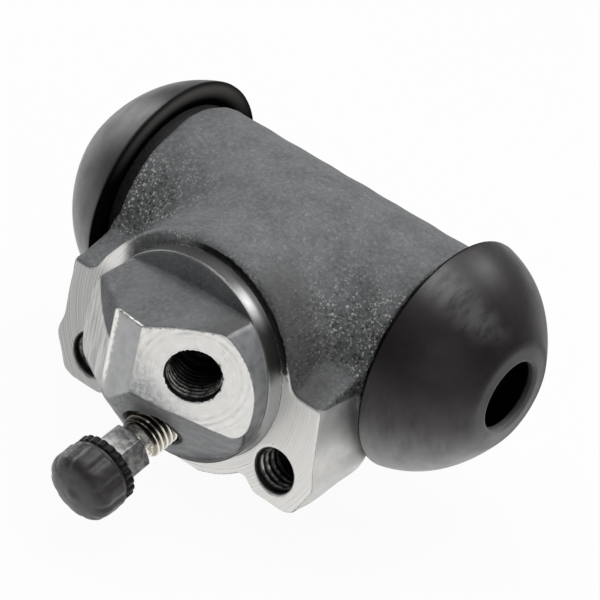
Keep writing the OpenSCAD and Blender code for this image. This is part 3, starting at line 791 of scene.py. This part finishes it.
def casting_cuts(p, at):
    """Which cut each place of the surface belongs to, grouped by how bright the cuts are."""
    c = SimpleNamespace()
    front = (p.y + RING_H).ramp(0.05, -0.05)
    plain = p.y.within(0.0, 0.14, 0.05) * at.rn.ramp(PILOT_R + 0.1, PILOT_R + 0.3)
    # painted reflection and shade: the bolting face takes its bright machined tone only at the far left and
    # low down; higher up it keeps the darker skin tone
    lit = (p.x + at.drift * 0.5).ramp(-15.0, -18.5).most((p.z + at.drift).ramp(10.0, 5.0))
    c.wall = at.rn.within(PILOT_R, 0.12, 0.05) * p.y.within(-1.4, 2.1, 0.1)
    c.facet = at.inlet_h.within(0.0, 0.12, 0.04) * front
    c.strip = at.strip_h.within(0.0, 0.12, 0.04) * front
    bend = (p.x + 6.0) ** 2.0 * 0.072
    c.flank = at.flank_h.within(0.0, 0.14, 0.05) * front * (p.z - bend + at.drift * 0.5).ramp(3.9, 2.9)
    c.corner = (at.corner_h.within(0.0, 0.5, 0.15) + at.under_h.within(0.0, 0.8, 0.2)).least(1.0) * front
    c.side = at.ax.ramp(25.2, 25.7) * p.z.ramp(3.2, 2.9) * p.y.ramp(0.1, 0.25) * at.rb.ramp(17.4, 18.0)
    # painted highlight: a bright line on the lower part of the end edge of the cast skin beside each boot
    c.tail = (at.ax.within(SKIN_HALF - 0.1, 0.5, 0.1) * at.rb.within(BARREL_R - 0.4, 0.7, 0.1)
              * p.z.ramp(3.0, 1.0))
    c.burr = casting_burr(p, at, front)
    nose_wall = at.rn.within(NOSE_R, 0.14, 0.06) * front
    bore = at.rb.ramp(BORE_R + 1.0, BORE_R + 0.7)
    # painted shade: the turned land beside each boot, the relief groove beside the pilot on its upper right
    # only, and the insides of the holes are painted near-black
    land = at.ax.ramp(SKIN_HALF - 0.15, SKIN_HALF + 0.05) * at.rb.ramp(BARREL_R - 0.05, BARREL_R - 0.2)
    groove = at.rn.within(PILOT_R + 0.5, 0.6, 0.05) * p.y.within(0.4, 0.3, 0.06)
    groove = groove * p.x.ramp(-6.0, -2.0) * p.z.ramp(4.0, 8.0)
    c.bright = (plain * lit + c.facet + c.side + c.tail + c.burr).clamped()
    c.mid = (c.strip + c.flank + c.wall + bore).clamped() * c.bright.inv()
    c.dull = (nose_wall + c.corner).clamped() * (c.bright + c.mid).clamped().inv()
    c.dark = (land + groove + casting_hole_shade(p, at)).clamped()
    c.cut = (c.bright + c.mid + c.dull).clamped() * c.dark.inv()
    return c


def cast_skin(p, at):
    """Tone, specks and pits of the cast skin. The bright specks are painted glints on the cast grain; they
    and the pits lie more on faces turned down and to the front. Beside the ring the skin is painted darker as
    painted shade.
    """
    # painted glints: where the bright specks show, more on faces turned down and to the front, fewer at the
    # back
    speckled = p.upward().ramp(0.92, 0.4, 0.1, 1.0) * p.y.ramp(-0.5, 1.5, 0.08, 1.0)
    speckled = speckled * p.y.ramp(38.0, 26.0, 0.4, 1.0)
    ragged = at.fine - 0.5
    apart, chance = p.cells(1.5)
    specks = (apart + ragged * 1.3).ramp(0.46, 0.2) * chance.ramp(0.25, 0.85) * speckled
    apart, chance = p.cells(2.6)
    specks = specks.most((apart + ragged * 0.8).ramp(0.5, 0.2) * chance.ramp(0.45, 0.9) * speckled)
    specks = specks * at.coarse.ramp(0.35, 0.55, 0.35, 1.0)
    apart, chance = p.cells(1.2)
    pits = (apart + ragged * 1.5).ramp(0.52, 0.24) * chance.ramp(0.15, 0.6) * speckled
    tone = p.colour(at.coarse.ramp(0.3, 0.7), (0.104, 0.108, 0.110), (0.140, 0.145, 0.149))
    tone = p.colour(at.grain.ramp(0.4, 0.75, 0.0, 0.8), tone, (0.18, 0.185, 0.19))
    tone = p.colour(pits, tone, (0.045, 0.045, 0.043))
    # the specks painted near-white: painted glints
    tone = p.colour(specks, tone, (0.72, 0.72, 0.70))
    # painted shade on the skin beside the pilot ring, on its right
    shade = at.rn.ramp(28.0, 21.0) * (p.x + at.drift).ramp(5.0, 12.0) * p.y.ramp(11.0, 4.0)
    return p.colour(shade * 0.75, tone, (0.062, 0.061, 0.058)), specks, pits


def bright_tone(p, at, c, streak, smear):
    """Bolting face, inlet facet, sides of the lobes and burrs, with painted shade on the left lobe and
    towards the top of the side walls, and painted edge highlights on the burrs.
    """
    tone = p.colour(streak.ramp(0.3, 0.6), (0.60, 0.595, 0.575), (0.88, 0.87, 0.84))
    tone = p.colour(smear.ramp(0.3, 0.65), tone, (0.80, 0.79, 0.76))
    # the inlet facet turns greyer and grainier towards its lower left
    greyer_lower_left = (p.x * 0.75 + p.z * 0.66 + at.drift).ramp(7.0, 1.0) * c.facet
    tone = p.colour(greyer_lower_left, tone, p.colour(at.grain.ramp(0.35, 0.65), (0.34, 0.345, 0.35), (0.56, 0.56, 0.56)))
    # painted shade: the bolting face is painted darker on the left lobe
    left = p.x.ramp(-9.0, -14.0) * p.y.ramp(-1.0, -0.5) * p.z.ramp(7.0, 3.0)
    tone = p.colour(left, tone, p.colour(streak.ramp(0.35, 0.65), (0.36, 0.36, 0.355), (0.56, 0.555, 0.54)))
    # painted shade: the side walls of the lobes darken towards the top, where they meet the barrel
    tone = p.colour(c.side * (p.z + at.drift * 0.4).ramp(-7.0, 0.0), tone, (0.46, 0.46, 0.45))
    # the burrs painted near-white, partly as painted edge highlights
    return p.colour(c.burr, tone, (0.95, 0.94, 0.89))


def mid_tone(p, at, c, streak, smear):
    """Strip and flank of the nose, the bore, and the pilot ring, painted dull on its top and dark on its
    upper right as painted dark reflections.
    """
    tone = p.colour(streak.ramp(0.3, 0.68), (0.36, 0.36, 0.36), (0.60, 0.595, 0.58))
    strip = p.colour(smear.ramp(0.3, 0.7), (0.36, 0.365, 0.37), (0.43, 0.43, 0.43))
    tone = p.colour(c.strip, tone, strip)
    # painted dark reflection: the pilot ring is dull on its top and bright further to the right
    ring = p.colour((p.x + at.drift * 0.3).ramp(5.5, 10.0), (0.13, 0.13, 0.128), (0.44, 0.44, 0.44))
    # painted dark reflection on the ring's upper right, past its glint
    painted_reflection = (p.z + at.drift * 0.4).within(9.4, 4.0, 2.0) * p.x.ramp(9.0, 12.5)
    ring = p.colour(painted_reflection, ring, (0.085, 0.085, 0.08))
    return p.colour(c.wall, tone, ring)


def dull_tone(p, c, strokes, smear):
    """Round wall of the nose and its faces below."""
    tone = p.colour(smear.ramp(0.3, 0.7), (0.20, 0.205, 0.21), (0.30, 0.305, 0.31))
    corner = p.colour(strokes.ramp(0.35, 0.65), (0.27, 0.275, 0.28), (0.42, 0.425, 0.43))
    return p.colour(c.corner * p.x.ramp(4.0, -4.0), tone, corner)


def casting_paint():
    """Grey cast skin, and machined faces with turning marks round the pilot and the inlet."""
    p = Paint("cast_iron_machined")
    at = casting_places(p)
    c = casting_cuts(p, at)
    skin, specks, pits = cast_skin(p, at)
    turning = p.noise_on(at.rn, 4.5, 3.0)
    spot = p.mix(0.5, p.noise_on(at.inlet_r, 1.6, 3.0), p.noise(0.7, 3.0, 0.6))
    strokes = p.noise(1.5, 3.0, 0.6, (1.0, 1.0, 0.1))
    smear = p.noise(0.45, 3.0, 0.6)
    streak = p.mix((c.flank + c.corner + c.strip).clamped(), turning, strokes)
    streak = p.mix(c.side, p.mix(c.facet, streak, spot), 0.6)
    tone = p.colour(c.dull, skin, dull_tone(p, c, strokes, smear))
    tone = p.colour(c.mid, tone, mid_tone(p, at, c, streak, smear))
    tone = p.colour(c.bright, tone, bright_tone(p, at, c, streak, smear))
    # near-black painted shade in the land, the relief groove and the holes
    p.set(Base_Color=p.colour(c.dark, tone, (0.012, 0.012, 0.013)))
    shine = (c.cut - c.dull * 0.55 - c.side * 0.6 - c.tail * 0.7).clamped()
    p.set(Metallic=p.mix(shine, specks * 0.6, 0.9))
    p.set(Roughness=p.mix(shine, at.grain.ramp(0.2, 0.8, 0.68, 0.5), streak.ramp(0.2, 0.8, 0.46, 0.34)))
    p.set(Specular_IOR_Level=p.mix(c.cut, 0.3, 0.5))
    height = c.cut.inv() * (at.grain * 0.7 + specks * 0.5 - pits * 0.5 + at.fine * 0.25)
    p.bump(height + c.cut * streak * 0.16, 0.2, 0.9)
    return p


def tapped_paint(name, origin, axis, crest, root):
    """A tapped wall: bright crests near the mouth; the roots and the deeper part are painted black as painted
    shade.
    """
    p = Paint(name)
    mark = p.noise(1.1, 3.0, 0.6)
    high = p.from_axis(axis, origin).ramp(root - 0.1, crest + 0.12)
    near = (p.along(axis, origin) + (mark - 0.5) * 4.0).ramp(-5.5, -2.0)
    tone = p.colour(mark.ramp(0.35, 0.65), (0.10, 0.098, 0.094), (0.52, 0.51, 0.48))
    # painted shade: black in the thread roots and further into the hole
    p.set(Base_Color=p.colour(high * near, (0.018, 0.017, 0.016), tone), Metallic=0.85)
    p.set(Roughness=mark.ramp(0.2, 0.8, 0.25, 0.45))
    p.bump(mark, 0.04, 0.5)
    return p


# Rubber and steel

def rubber_paint(name, dark, light, scale, paler):
    """Plain rubber; its cloud and tone are kept for paints that build on it."""
    p = Paint(name)
    p.cloud = p.noise(0.16 * scale, 4.0, 0.6)
    grain = p.noise(3.0 * scale, 3.0, 0.6)
    p.tone = p.colour(p.cloud.ramp(0.3, 0.75), dark, light)
    p.tone = p.colour(grain.ramp(0.55, 0.85, 0.0, paler), p.tone, (0.09, 0.087, 0.088))
    p.set(Base_Color=p.tone)
    p.set(Roughness=p.cloud.ramp(0.2, 0.8, 0.46, 0.36))
    p.set(Sheen_Weight=p.cloud.ramp(0.25, 0.7, 0.1, 0.35), Sheen_Roughness=0.4)
    p.bump(p.cloud * 0.5 + grain * 0.5, 0.07, 0.35)
    return p


def boot_paint():
    """Rubber painted paler low down on the front as a painted reflection of the floor, with a painted sheen
    streak along one side of the dome and a painted highlight on the lip of the hole. The back face of the rim
    is painted near-black as painted shade, lighter at the top of the left boot as painted light.
    """
    p = rubber_paint("boot_rubber", (0.0135, 0.0105, 0.0115), (0.0235, 0.0185, 0.020), 1.0, 0.15)
    rb = p.from_axis((1, 0, 0), BORE_AT)
    ax = abs(p.x)
    leftward = p.x.ramp(0.0, -10.0)
    brushed = p.noise(0.55, 3.0, 0.6, (1.0, 0.35, 0.35))
    level = p.z + p.x.ramp(0.0, -10.0, 0.0, -4.0)
    ahead = p.y.ramp(34.0, 24.0)
    # painted reflection of the floor: slightly paler low down, on the front side only
    paler = level.ramp(12.0, -1.0) * ahead * brushed.ramp(0.2, 0.65, 0.5, 1.0)
    tone = p.colour(paler, p.tone, (0.118, 0.111, 0.109))
    # painted sheen: a streak along one side of the dome, and a painted highlight on the lip of the hole
    sheen_streak = p.along((0, 0.9, 0.44), BORE_AT).within(0.0, 2.6, 2.6) * p.z.ramp(16.0, 20.0)
    lip = rb.ramp(9.6, 8.2) * ax.ramp(40.0, 42.0)
    painted_sheen = (sheen_streak * 0.7 * brushed.ramp(0.3, 0.6) + lip * 0.75).least(1.0)
    tone = p.colour(painted_sheen * brushed.ramp(0.15, 0.7, 0.55, 1.0), tone, (0.12, 0.118, 0.117))
    # painted reflection of the floor: pale grey lower still, on the front side only
    below = level.ramp(4.0, -10.0) * ahead * brushed.ramp(0.15, 0.7, 0.6, 1.0)
    tone = p.colour(below, tone, (0.46, 0.46, 0.455))
    # painted shade: the back face of the rim near-black, painted lighter at the top of the left boot as
    # painted light
    back = ax.ramp(BOOT_BACK + 0.45, BOOT_BACK + 0.2) * rb.ramp(16.0, 16.3)
    high = p.z.ramp(13.0, 26.0) * rb.within(19.0, 1.0, 0.8) * leftward
    p.set(Base_Color=p.colour(back, tone, p.colour(high, (0.004, 0.004, 0.004), (0.15, 0.143, 0.136))))
    gloss = p.z.ramp(14.0, 27.0).most(leftward) * back.inv()
    p.set(Specular_IOR_Level=(gloss * 0.22 + 0.2) * back.inv())
    p.set(Sheen_Weight=gloss * p.cloud.ramp(0.25, 0.7, 0.1, 0.32))
    return p


def cap_paint():
    """Rubber, painted near-black at the toothed collar as painted shade, and with a painted sheen on the
    lower and left side of the crown.
    """
    p = rubber_paint("cap_rubber", (0.027, 0.0235, 0.024), (0.046, 0.041, 0.041), 2.2, 0.3)
    painted_sheen, middle = (0.15, 0.15, 0.148), BLEED + 15.0 * BLEED_AXIS
    # painted sheen on the lower and left side of the crown
    low = p.along((-0.75, 0.0, -0.66), middle).ramp(1.5, 5.0)
    left = p.along((-0.94, 0.0, 0.34), middle).ramp(2.0, 5.5)
    tone = p.colour(low * p.cloud.ramp(0.2, 0.6, 0.5, 1.0), p.tone, painted_sheen)
    tone = p.colour(left * p.noise(1.6, 3.0, 0.7).ramp(0.48, 0.62), tone, painted_sheen)
    # painted shade: the toothed collar at the base is near-black
    collar = p.along(BLEED_AXIS, BLEED).ramp(CAP_Z + 1.8, CAP_Z + 1.5)
    p.set(Base_Color=p.colour(collar, tone, (0.006, 0.006, 0.006)), Sheen_Weight=0.08)
    p.set(Specular_IOR_Level=collar.ramp(0.0, 1.0, 0.4, 0.15))
    return p


def plated_paint():
    """Plated steel. The thread and neck carry a painted reflection, dark brown on the upper left and pale on
    the lower right, with painted glints; the thread roots are painted dark as painted shade.
    """
    p = Paint("zinc_plated")
    r = p.from_axis(BLEED_AXIS, BLEED)
    h = p.along(BLEED_AXIS, BLEED)
    turning = p.noise_on(h, 6.0, 3.0)
    cloud = p.noise(0.8, 3.0, 0.6)
    tone = p.colour(cloud.ramp(0.35, 0.7), (0.15, 0.15, 0.148), (0.42, 0.42, 0.41))
    # painted reflection: across the screw, dark brown on the upper left and pale on the lower right, which
    # faces the floor
    across = p.along((0.837, 0.169, -0.520), BLEED) + (cloud - 0.5) * 2.0
    painted_reflection = p.colour(across.ramp(0.0, 2.4), (0.16, 0.14, 0.115), (0.90, 0.87, 0.79))
    # painted glints near the upper-left edge
    painted_reflection = p.colour(across.within(-1.4, 0.9, 0.4) * cloud.ramp(0.5, 0.6), painted_reflection, (0.95, 0.94, 0.90))
    # painted highlights on the neck
    neck = h.ramp(THREAD_OUT, THREAD_OUT + 0.2) * across.ramp(-3.2, -1.5)
    painted_reflection = p.colour(neck, painted_reflection, p.colour(cloud.ramp(0.42, 0.58), (0.40, 0.37, 0.31), (0.95, 0.93, 0.87)))
    shank = h.ramp(HEX_Z, HEX_Z - 0.2)
    tone = p.colour(shank, tone, painted_reflection)
    # painted shade in the thread roots, pale on the lower right as painted reflection
    root = r.ramp(3.85, 3.55) * h.ramp(THREAD_OUT + 0.1, THREAD_OUT - 0.2)
    tone = p.colour(root, tone, p.colour(across.ramp(1.2, 3.2), (0.022, 0.017, 0.013), (0.34, 0.31, 0.26)))
    p.set(Base_Color=tone, Metallic=0.95)
    p.set(Roughness=p.mix(shank, cloud.ramp(0.2, 0.8, 0.28, 0.42), 0.2))
    p.bump(turning * 0.6 + cloud * 0.4, 0.03, 0.5)
    return p


def steel_paint(name, dark, light, metallic, rough):
    """Bare metal with turning marks round the bore axis."""
    p = Paint(name)
    line = p.noise_on(p.from_axis((1, 0, 0), BORE_AT), 8.0, 3.0)
    cloud = p.noise(0.9, 3.0, 0.6)
    p.set(Base_Color=p.colour(cloud.ramp(0.3, 0.7), dark, light), Metallic=metallic)
    p.set(Roughness=line.ramp(0.2, 0.8, rough - 0.06, rough + 0.08))
    p.bump(line * 0.7 + cloud * 0.3, 0.03, 0.5)
    return p


casting_paint().on(body)
for piece, (name, origin, axis, crest, root, *_) in zip(liners, TAPPED):
    tapped_paint(name + "_wall", origin, axis, crest, root).on(piece)
boot_rubber = boot_paint()
for piece in boots:
    boot_rubber.on(piece)
cap_paint().on(cap)
plated_paint().on(screw)
spring_paint = steel_paint("spring_wire", (0.28, 0.28, 0.29), (0.42, 0.42, 0.43), 0.9, 0.35)
for piece in springs:
    spring_paint.on(piece)
piston_paint = steel_paint("turned_aluminium", (0.50, 0.50, 0.51), (0.66, 0.66, 0.67), 0.9, 0.34)
cup_paint = rubber_paint("cup_rubber", (0.020, 0.020, 0.020), (0.034, 0.033, 0.033), 1.5, 0.1)
expander_paint = steel_paint("pressed_steel", (0.42, 0.43, 0.44), (0.58, 0.59, 0.60), 0.9, 0.32)
for label in ("left", "right"):
    for node, paint in (("piston_", piston_paint), ("cup_", cup_paint), ("expander_", expander_paint)):
        paint.on(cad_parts[node + label])


# Stage, light and camera
WHITE = (1, 1, 1, 1)


def floor_paint():
    """A pale floor that looks nearly white to the camera and in reflections, and still takes a shadow."""
    p = Paint("pale_floor")
    soft = p.noise(0.02, 2.0, 0.5)
    p.set(Base_Color=p.colour(soft, (0.62, 0.62, 0.62), (0.66, 0.66, 0.66)), Roughness=0.9)
    glow = p.node("Emission")
    glow.inputs["Color"].default_value = WHITE
    glow.inputs["Strength"].default_value = 1.0
    rays = p.node("LightPath").outputs
    camera_ray, glossy_ray, clear_ray = (
        Value(p.tree, rays["Is " + kind + " Ray"]) for kind in ("Camera", "Glossy", "Transmission"))
    share = (camera_ray + glossy_ray + clear_ray).least(1.0) * 0.95
    blend = p.node("MixShader")
    for value, socket in zip((share, p.surface.outputs[0], glow.outputs[0]), blend.inputs):
        put(p.tree, value, socket)
    p.tree.links.new(blend.outputs[0], p.out.inputs[0])
    return p


FLOOR, FLOOR_HALF = -26.2, 900  # clear of the cap when it is pulled off
corners = [(-1, -1), (1, -1), (1, 1), (-1, 1)]
floor = make_object("floor", [(x * FLOOR_HALF, y * FLOOR_HALF, FLOOR) for x, y in corners], [(0, 1, 2, 3)])
floor_paint().on(floor)

scene = bpy.context.scene
scene.view_settings.view_transform = "Standard"


def studio_world():
    """A dim sky that the camera sees as white."""
    world = bpy.data.worlds.new("studio")
    world.use_nodes = True
    tree = world.node_tree
    tree.nodes.clear()
    out = tree.nodes.new("ShaderNodeOutputWorld")
    blend = tree.nodes.new("ShaderNodeMixShader")
    path = tree.nodes.new("ShaderNodeLightPath")
    tree.links.new(path.outputs["Is Camera Ray"], blend.inputs[0])
    for i, (colour, strength) in enumerate((((0.95, 0.97, 1.0, 1.0), 0.18), (WHITE, 1.0))):
        sky = tree.nodes.new("ShaderNodeBackground")
        sky.inputs["Color"].default_value = colour
        sky.inputs["Strength"].default_value = strength
        tree.links.new(sky.outputs[0], blend.inputs[i + 1])
    tree.links.new(blend.outputs[0], out.inputs[0])
    return world


def lamp(name, place, target, size, power):
    light = bpy.data.lights.new(name, "AREA")
    light.shape = "RECTANGLE"
    light.size, light.size_y = size[0] * MM, size[1] * MM
    light.energy = power
    obj = bpy.data.objects.new(name, light)
    scene.collection.objects.link(obj)
    obj.location = Vector(place) * MM
    obj.rotation_euler = (Vector(target) - Vector(place)).to_track_quat("-Z", "Y").to_euler()


scene.world = studio_world()
lamp("top", (0, 60, 480), (0, 20, 0), (480, 360), 2.0)
lamp("back", (100, 340, 330), (0, 10, 5), (160, 90), 0.5)
lamp("right", (430, -220, 110), (0, 5, 0), (300, 240), 0.35)
lamp("left", (-420, 80, 150), (-20, 20, 0), (220, 240), 0.6)

# Camera fitted to the boot rims, the pilot and the bolt holes
CAMERA_AT = Vector((322.7082, -470.4168, 358.7875))
CAMERA_RIGHT = Vector((0.755137, 0.627226, 0.190673))
CAMERA_DOWN = Vector((0.461490, -0.302025, -0.834151))
CAMERA_AHEAD = Vector((-0.465613, 0.717892, -0.517528))
camera = bpy.data.objects.new("camera", bpy.data.cameras.new("camera"))
scene.collection.objects.link(camera)
turn = Matrix((CAMERA_RIGHT, -CAMERA_DOWN, -CAMERA_AHEAD)).transposed()
camera.matrix_world = Matrix.Translation(CAMERA_AT * MM) @ turn.to_4x4()
camera.data.sensor_width = 36.0
camera.data.lens = 250.481
camera.data.clip_start = 0.05
camera.data.clip_end = 10.0
scene.camera = camera
